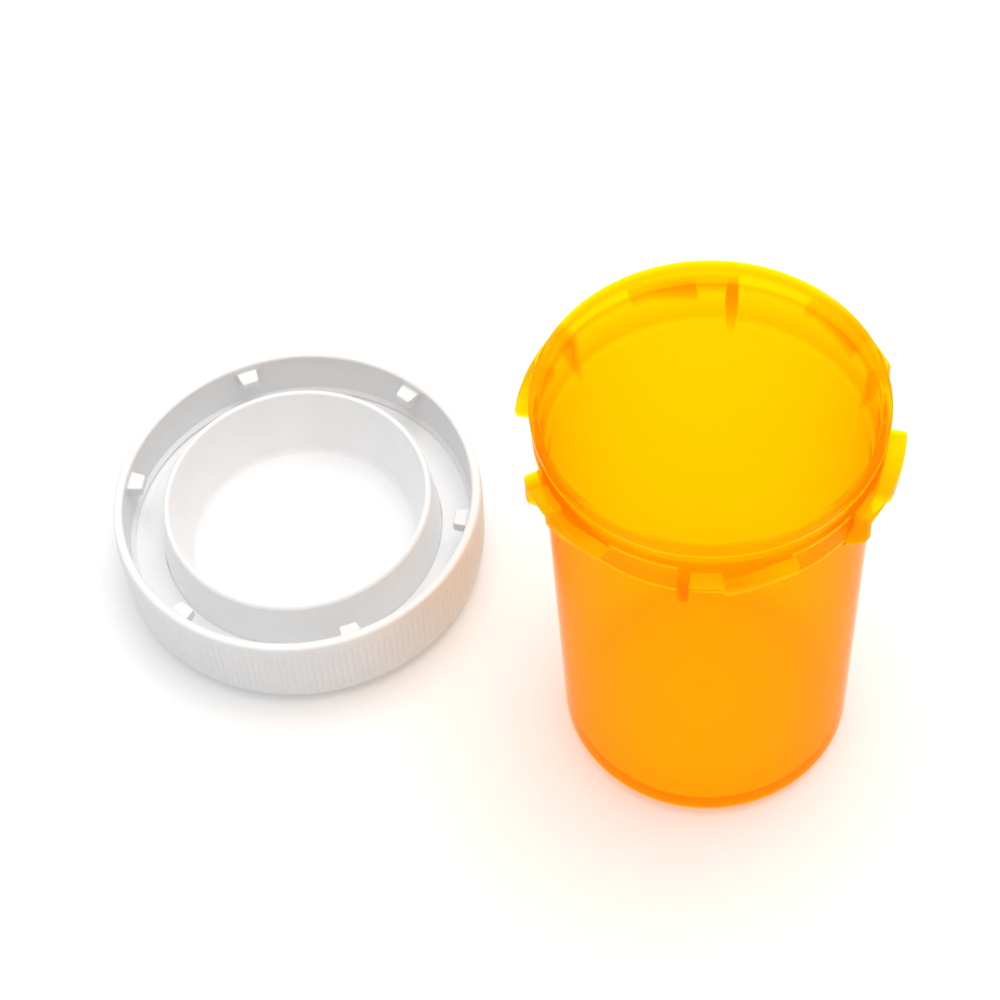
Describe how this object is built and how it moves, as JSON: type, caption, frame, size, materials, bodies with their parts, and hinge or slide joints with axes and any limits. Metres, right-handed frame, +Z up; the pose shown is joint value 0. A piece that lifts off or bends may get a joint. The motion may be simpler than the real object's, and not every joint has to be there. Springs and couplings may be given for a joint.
{
  "type": "prescription vial",
  "caption": "Amber see-through medicine vial with a flared lip and bayonet lugs, and a white push-and-turn cap with a seal insert lying open side up beside it.",
  "frame": {"origin": "centre of the vial's base, on the surface it stands on", "axes": "+Z up along the vial's axis, -Y towards the front, the cap lies at -X"},
  "size_m": [0.0963, 0.0745, 0.0625],
  "materials": {
    "amber_plastic": "clear amber polypropylene, polished outside",
    "white_plastic": "white polypropylene, satin, with a finely ribbed skirt",
    "seal_plastic": "milky natural polyethylene, soft satin"
  },
  "bodies": {
    "vial": {"vial": "amber_plastic"},
    "cap_spring": {"seal_spring": "seal_plastic"},
    "cap_plug": {"seal_cup": "seal_plastic"},
    "cap": {"cap_shell": "white_plastic"}
  },
  "joints": [
    {"name": "cap_flip", "type": "hinge", "parent": "vial", "child": "cap_spring", "pos_m": [-0.02525, 0.01415, 0.0393], "axis": [0.4889, 0.8724, 0], "range_deg": [0, 180]},
    {"name": "cap_press", "type": "slide", "parent": "cap_spring", "child": "cap_plug", "axis": [0, 0, 1], "range_m": [0, 0.0023], "stiffness_N_per_m": 9000},
    {"name": "cap_turn", "type": "hinge", "parent": "cap_plug", "child": "cap", "pos_m": [-0.0505, 0.0283, 0], "axis": [0, 0, 1], "range_deg": [0, 53.8]}
  ]
}
